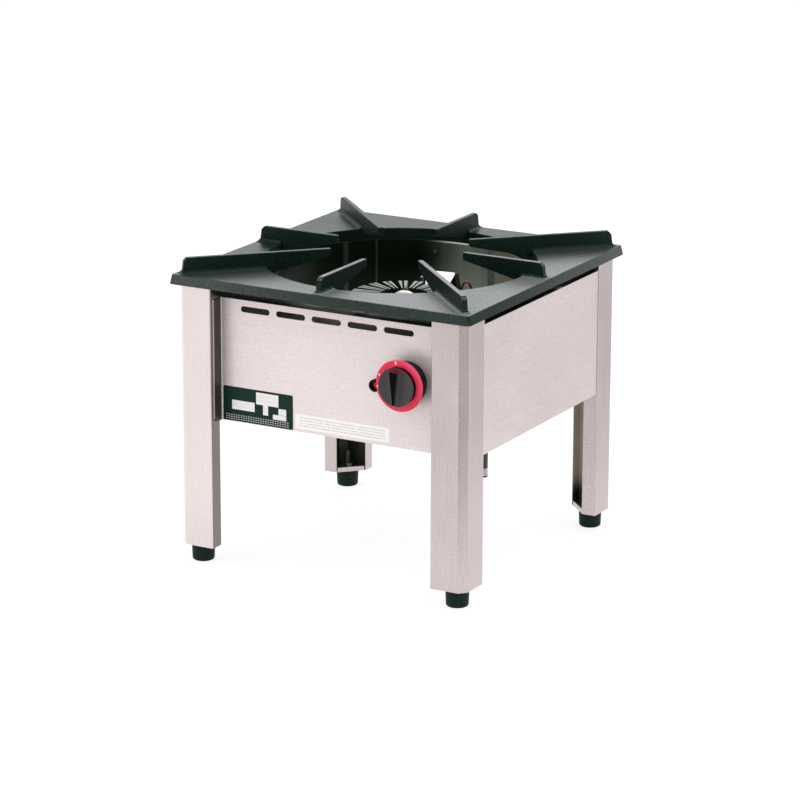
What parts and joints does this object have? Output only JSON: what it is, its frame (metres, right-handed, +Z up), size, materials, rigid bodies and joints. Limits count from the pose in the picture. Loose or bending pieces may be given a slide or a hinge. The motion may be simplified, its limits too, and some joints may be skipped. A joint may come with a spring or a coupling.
{
  "type": "stock pot range",
  "caption": "Square free-standing gas stock pot range with a finned cast top over a round burner, folded steel legs on levelling feet, a front panel with a control knob and an igniter button.",
  "frame": {"origin": "on the floor under the middle of the square cast top", "axes": "+Z up, -Y towards the front with the knob, +X to the right-hand side of a cook who faces the front"},
  "size_m": [0.55, 0.559, 0.5125],
  "materials": {
    "cast_enamel": "semi-gloss dark enamel on cast iron",
    "stainless": "satin stainless sheet, brushed",
    "zinc_steel": "bright zinc-plated steel",
    "foot_plastic": "moulded dark polyamide",
    "aluminised": "aluminised sheet with a soft sheen",
    "burner_iron": "black heat-proof coating on cast iron",
    "crown_iron": "glossy black enamel on cast iron",
    "cap_metal": "machined and nickel-plated",
    "brass_parts": "turned brass",
    "pipe_black": "black painted steel pipe",
    "copper_pipe": "drawn copper tube, darkened by heat",
    "knob_black": "black thermoset with a satin surface",
    "dial_red": "red moulding with printed white marks",
    "button_red": "red moulding",
    "ceramic": "glazed white ceramic",
    "sheath": "black heat-resistant sleeve",
    "dark_steel": "blackened sheet steel"
  },
  "bodies": {
    "range_frame": {"leg_front_left": "stainless", "leg_front_right": "stainless", "leg_rear_left": "stainless", "leg_rear_right": "stainless", "leg_base_front_left": "stainless", "leg_base_front_right": "stainless", "leg_base_rear_left": "stainless", "leg_base_rear_right": "stainless", "front_panel": "stainless", "left_panel": "stainless", "right_panel": "stainless", "rear_rail": "stainless", "foot_nuts": "zinc_steel", "burner_bolts": "zinc_steel", "burner_nuts": "zinc_steel", "feed_nuts": "zinc_steel", "jet_holder": "zinc_steel", "igniter_nut": "zinc_steel", "valve_screws": "zinc_steel", "inlet_nipple": "zinc_steel", "ring_rivets": "zinc_steel", "flame_ring": "aluminised", "ring_brackets": "aluminised", "burner_rail_front": "aluminised", "burner_rail_rear": "aluminised", "lead_comb": "aluminised", "pilot_bracket": "aluminised", "burner_body": "burner_iron", "gas_valve_body": "brass_parts", "gas_jet": "brass_parts", "pilot_burner": "brass_parts", "inlet_pipe": "pipe_black", "feed_pipe": "copper_pipe", "pilot_pipe": "copper_pipe", "probe_lead": "copper_pipe", "knob_bezel": "knob_black", "igniter_body": "knob_black", "knob_dial": "dial_red", "spark_electrode": "ceramic", "spark_lead": "sheath", "pilot_hood": "dark_steel", "spark_tip": "zinc_steel", "flame_probe": "zinc_steel"},
    "pan_support_body": {"pan_support": "cast_enamel"},
    "burner_crown_body": {"burner_crown": "crown_iron"},
    "burner_cap_body": {"burner_cap": "cap_metal"},
    "push_rod_body": {"valve_push_rod": "zinc_steel"},
    "knob_body": {"control_knob": "knob_black", "valve_spindle": "zinc_steel"},
    "button_body": {"igniter_button": "button_red"},
    "shutter_body": {"air_shutter": "zinc_steel"},
    "foot_front_left_body": {"foot_front_left": "foot_plastic", "foot_stem_front_left": "zinc_steel"},
    "foot_front_right_body": {"foot_front_right": "foot_plastic", "foot_stem_front_right": "zinc_steel"},
    "foot_rear_left_body": {"foot_rear_left": "foot_plastic", "foot_stem_rear_left": "zinc_steel"},
    "foot_rear_right_body": {"foot_rear_right": "foot_plastic", "foot_stem_rear_right": "zinc_steel"}
  },
  "joints": [
    {"name": "pan_support_lift", "type": "slide", "parent": "range_frame", "child": "pan_support_body", "axis": [0, 0, 1], "range_m": [0, 0.12]},
    {"name": "burner_crown_lift", "type": "slide", "parent": "range_frame", "child": "burner_crown_body", "axis": [0, 0, 1], "range_m": [0, 0.09]},
    {"name": "burner_cap_lift", "type": "slide", "parent": "range_frame", "child": "burner_cap_body", "axis": [0, 0, 1], "range_m": [0, 0.06]},
    {"name": "knob_push", "type": "slide", "parent": "range_frame", "child": "push_rod_body", "axis": [0, 1, 0], "range_m": [0, 0.0035], "stiffness_N_per_m": 900, "springref_m": -0.008},
    {"name": "knob_turn", "type": "hinge", "parent": "push_rod_body", "child": "knob_body", "pos_m": [0.145, -0.27, 0.355], "axis": [0, -1, 0], "range_deg": [0, 150]},
    {"name": "igniter_press", "type": "slide", "parent": "range_frame", "child": "button_body", "axis": [0, 1, 0], "range_m": [0, 0.003], "stiffness_N_per_m": 2500, "springref_m": -0.002},
    {"name": "air_shutter_turn", "type": "hinge", "parent": "range_frame", "child": "shutter_body", "pos_m": [0.0074, -0.145, 0.345], "axis": [0, 1, 0], "range_deg": [0, 80]},
    {"name": "foot_front_left_height", "type": "slide", "parent": "range_frame", "child": "foot_front_left_body", "axis": [0, 0, -1], "range_m": [0, 0.02]},
    {"name": "foot_front_right_height", "type": "slide", "parent": "range_frame", "child": "foot_front_right_body", "axis": [0, 0, -1], "range_m": [0, 0.02]},
    {"name": "foot_rear_left_height", "type": "slide", "parent": "range_frame", "child": "foot_rear_left_body", "axis": [0, 0, -1], "range_m": [0, 0.02]},
    {"name": "foot_rear_right_height", "type": "slide", "parent": "range_frame", "child": "foot_rear_right_body", "axis": [0, 0, -1], "range_m": [0, 0.02]}
  ]
}
